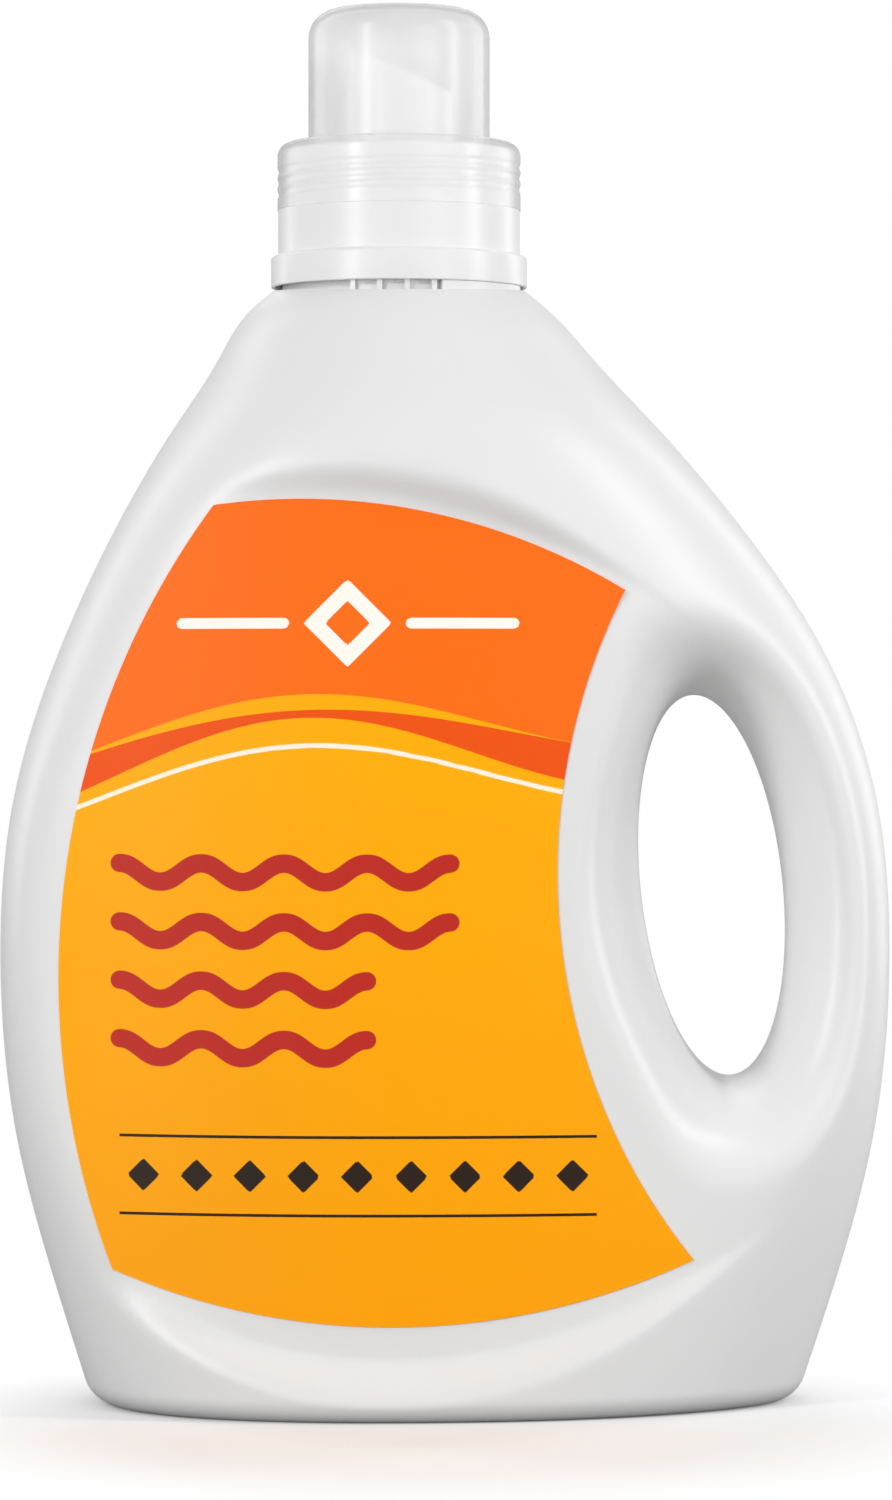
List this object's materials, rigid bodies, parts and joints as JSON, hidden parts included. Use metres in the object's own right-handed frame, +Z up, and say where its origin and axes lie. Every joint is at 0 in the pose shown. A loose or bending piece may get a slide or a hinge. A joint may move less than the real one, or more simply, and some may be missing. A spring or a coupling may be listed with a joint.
{
  "type": "laundry detergent bottle",
  "caption": "Hollow blow-moulded bottle with a through handle, recessed label panels, a slanted drain-back pour spout and a lift-off dosing cap.",
  "frame": {"origin": "on the floor under the middle of the bottle's bounding box", "axes": "+Z up, +X towards the handle, -Y is the front label"},
  "size_m": [0.1879, 0.1078, 0.2938],
  "materials": {
    "bottle_hdpe": "satin white blow-moulded HDPE",
    "spout_pp": "white moulded polypropylene",
    "cap_pp": "translucent natural moulded polypropylene",
    "label_film": "printed satin film, orange over amber"
  },
  "bodies": {
    "pack": {"bottle": "bottle_hdpe", "pour_spout": "spout_pp", "front_label": "label_film", "back_label": "label_film"},
    "cap": {"dosing_cap": "cap_pp"}
  },
  "joints": [
    {"name": "cap_lift", "type": "slide", "parent": "pack", "child": "cap", "axis": [0, 0, 1], "range_m": [0, 0.045]}
  ]
}
